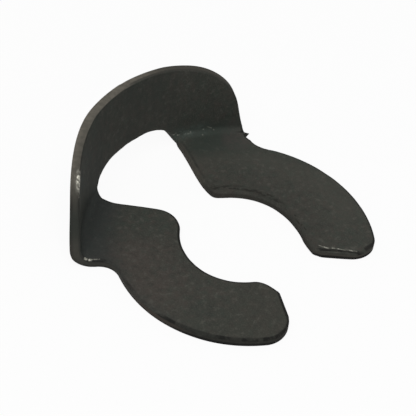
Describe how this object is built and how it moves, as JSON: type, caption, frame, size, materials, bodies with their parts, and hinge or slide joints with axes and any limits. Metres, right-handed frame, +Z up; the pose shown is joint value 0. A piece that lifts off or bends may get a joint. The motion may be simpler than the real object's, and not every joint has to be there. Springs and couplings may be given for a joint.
{
  "type": "retaining clip",
  "caption": "Stamped spring-steel retaining clip: a horseshoe plate whose curved fingers snap round a groove, with a curved upright wall folded up along its back above an arched slot.",
  "frame": {"origin": "on the axis of the round seat, at the plate's underside", "axes": "+X out through the mouth between the fingertips, +Z up the folded wall, +Y to the left of the mouth, so XZ is the mirror plane"},
  "size_m": [0.0282, 0.0284, 0.011],
  "materials": {
    "spring_steel": "black phosphate, oiled, rubbed bright on the edges"
  },
  "bodies": {
    "root": {"retaining_clip": "spring_steel"}
  },
  "joints": []
}
